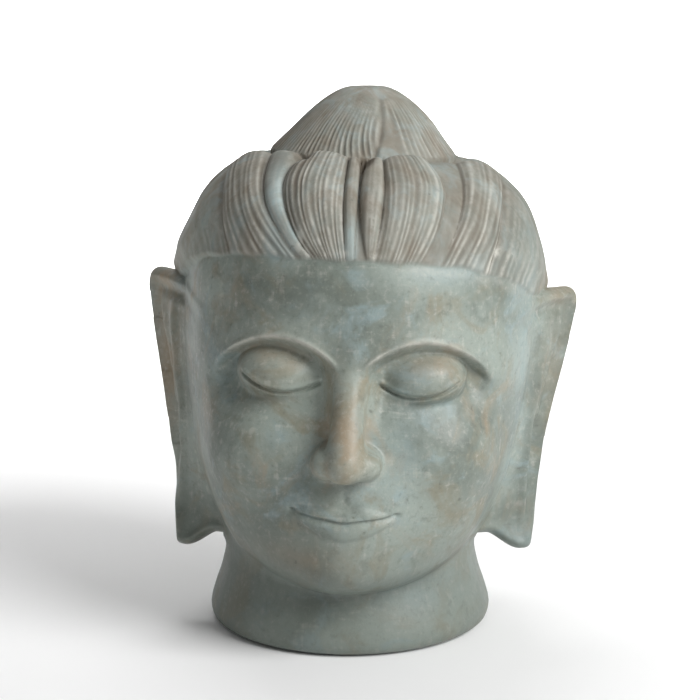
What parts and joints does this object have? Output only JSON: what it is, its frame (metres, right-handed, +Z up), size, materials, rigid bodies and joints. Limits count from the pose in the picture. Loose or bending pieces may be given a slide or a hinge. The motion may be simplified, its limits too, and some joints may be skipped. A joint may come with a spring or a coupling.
{
  "type": "stone buddha head",
  "caption": "Carved soapstone head with long ears, combed hair and a cone-shaped topknot, cut flat under the neck so that it stands by its own weight.",
  "frame": {"origin": "centre of the flat underside of the neck, where the head stands", "axes": "+Z up through the topknot, the face looks along -Y, +X is the viewer's right"},
  "size_m": [0.2039, 0.1909, 0.25],
  "materials": {
    "stone": "grey-green soapstone, satin on the face and neck, more matt in the combed hair"
  },
  "bodies": {
    "root": {"buddha_head": "stone"}
  },
  "joints": []
}
